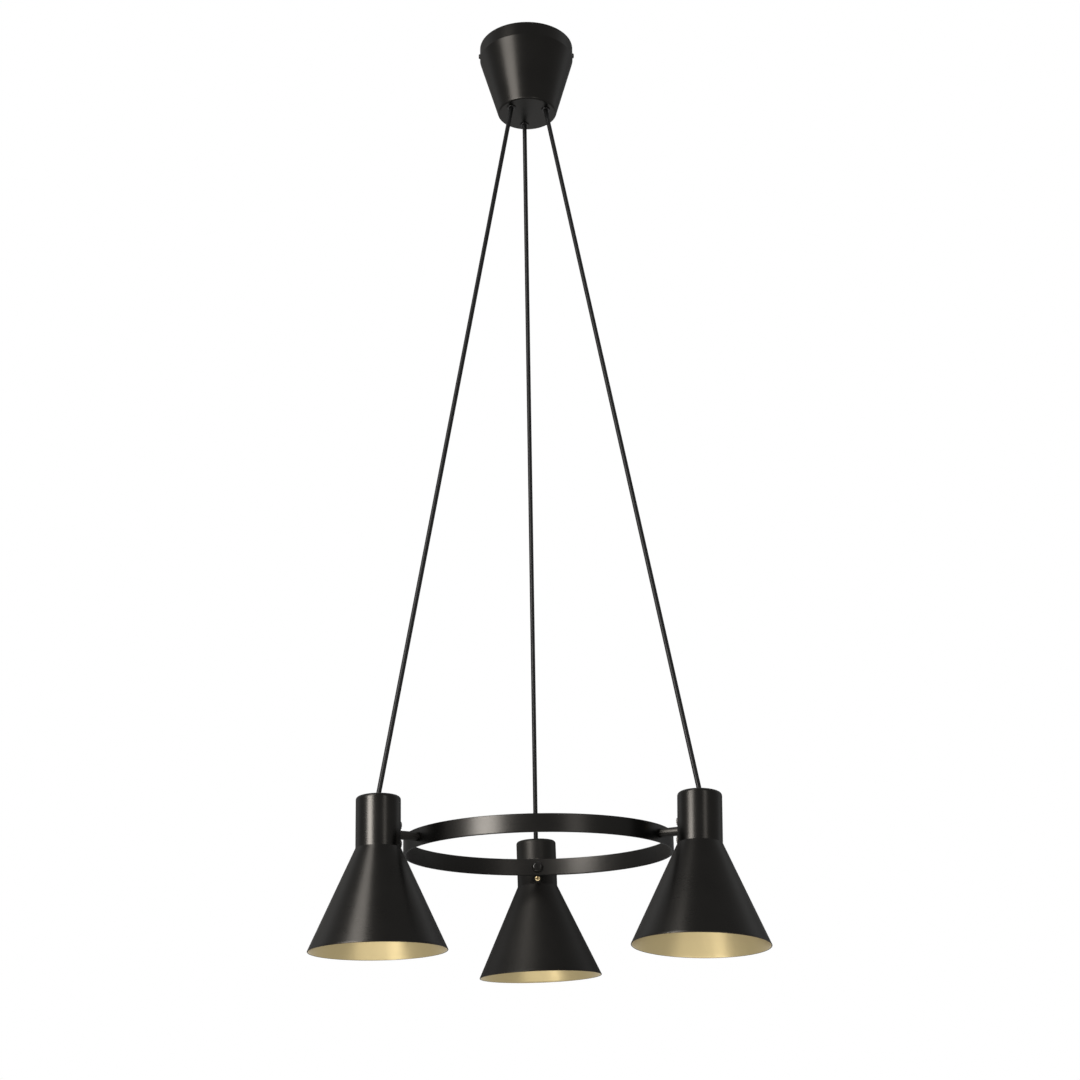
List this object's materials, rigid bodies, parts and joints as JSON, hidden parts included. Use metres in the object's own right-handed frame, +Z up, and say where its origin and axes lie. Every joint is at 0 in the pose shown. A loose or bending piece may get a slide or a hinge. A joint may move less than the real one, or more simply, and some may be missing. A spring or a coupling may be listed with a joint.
{
  "type": "pendant light",
  "caption": "Pendant light: spun cone shades round a flat ring, hung on straight cords from a tapered ceiling canopy; each shade turns a little about its arm.",
  "frame": {"origin": "on the ceiling, at the centre of the canopy and of the ceiling bracket's upper face", "axes": "+Z up out of the ceiling; +Y towards the rear shade, +X to the right as pictured, along the ceiling bracket"},
  "size_m": [0.4807, 0.4499, 1.1653],
  "materials": {
    "black_lacquer": "satin",
    "black_screw": "gloss",
    "zinc_steel": "satin",
    "dark_steel": "satin",
    "brass": "polished",
    "black_cord": "satin",
    "black_moulding": "gloss",
    "white_moulding": "matte",
    "opal_glass": "satin",
    "nickel_cap": "satin"
  },
  "bodies": {
    "frame": {"ceiling_bracket": "zinc_steel", "canopy": "black_lacquer", "canopy_screws": "black_screw", "terminal_block": "white_moulding", "terminal_screws": "brass", "block_screw": "zinc_steel", "earth_screw": "brass", "left_gland": "black_moulding", "right_gland": "black_moulding", "rear_gland": "black_moulding", "gland_nuts": "black_moulding", "canopy_leads": "black_cord", "spreader_ring": "black_lacquer", "left_arm_tube": "black_lacquer", "right_arm_tube": "black_lacquer", "rear_arm_tube": "black_lacquer", "arm_screws": "black_screw", "arm_washers": "black_lacquer", "arm_nuts": "zinc_steel"},
    "left_shade_unit": {"left_shade": "black_lacquer", "left_cord_bush": "black_moulding", "left_bush_nut": "black_moulding", "left_neck_lead": "black_cord", "left_holder_bracket": "zinc_steel", "left_bracket_screws": "brass", "left_star_washers": "dark_steel", "left_holder_nipple": "zinc_steel", "left_lampholder": "black_moulding", "left_socket_insert": "brass", "left_bulb_glass": "opal_glass", "left_bulb_cap": "nickel_cap"},
    "left_cord_line": {"left_cord": "black_cord"},
    "right_shade_unit": {"right_shade": "black_lacquer", "right_cord_bush": "black_moulding", "right_bush_nut": "black_moulding", "right_neck_lead": "black_cord", "right_holder_bracket": "zinc_steel", "right_bracket_screws": "brass", "right_star_washers": "dark_steel", "right_holder_nipple": "zinc_steel", "right_lampholder": "black_moulding", "right_socket_insert": "brass", "right_bulb_glass": "opal_glass", "right_bulb_cap": "nickel_cap"},
    "right_cord_line": {"right_cord": "black_cord"},
    "rear_shade_unit": {"rear_shade": "black_lacquer", "rear_cord_bush": "black_moulding", "rear_bush_nut": "black_moulding", "rear_neck_lead": "black_cord", "rear_holder_bracket": "zinc_steel", "rear_bracket_screws": "brass", "rear_star_washers": "dark_steel", "rear_holder_nipple": "zinc_steel", "rear_lampholder": "black_moulding", "rear_socket_insert": "brass", "rear_bulb_glass": "opal_glass", "rear_bulb_cap": "nickel_cap"},
    "rear_cord_line": {"rear_cord": "black_cord"}
  },
  "joints": [
    {"name": "left_shade_turn", "type": "hinge", "parent": "frame", "child": "left_shade_unit", "pos_m": [-0.17043, -0.0984, -1.037], "axis": [-0.866, -0.5, 0], "range_deg": [-16.4, 13.6]},
    {"name": "right_shade_turn", "type": "hinge", "parent": "frame", "child": "right_shade_unit", "pos_m": [0.17043, -0.0984, -1.037], "axis": [0.866, -0.5, 0], "range_deg": [-10.4, 19.6]},
    {"name": "rear_shade_turn", "type": "hinge", "parent": "frame", "child": "rear_shade_unit", "pos_m": [0, 0.1968, -1.037], "axis": [0, 1, 0], "range_deg": [-13.8, 16.2]},
    {"name": "left_cord_sway", "type": "hinge", "parent": "frame", "child": "left_cord_line", "pos_m": [-0.02023, -0.01552, -0.0986], "axis": [-0.866, -0.5, 0], "range_deg": [-0.62, 0.75]},
    {"name": "right_cord_sway", "type": "hinge", "parent": "frame", "child": "right_cord_line", "pos_m": [0.02356, -0.00976, -0.0986], "axis": [0.866, -0.5, 0], "range_deg": [-0.9, 0.48]},
    {"name": "rear_cord_sway", "type": "hinge", "parent": "frame", "child": "rear_cord_line", "pos_m": [-0.00333, 0.02528, -0.0986], "axis": [0, 1, 0], "range_deg": [-0.74, 0.63]}
  ],
  "couplings": [
    {"joint": "left_cord_sway", "follows": "left_shade_turn", "ratio": -0.0458},
    {"joint": "right_cord_sway", "follows": "right_shade_turn", "ratio": -0.0458},
    {"joint": "rear_cord_sway", "follows": "rear_shade_turn", "ratio": -0.0458}
  ]
}
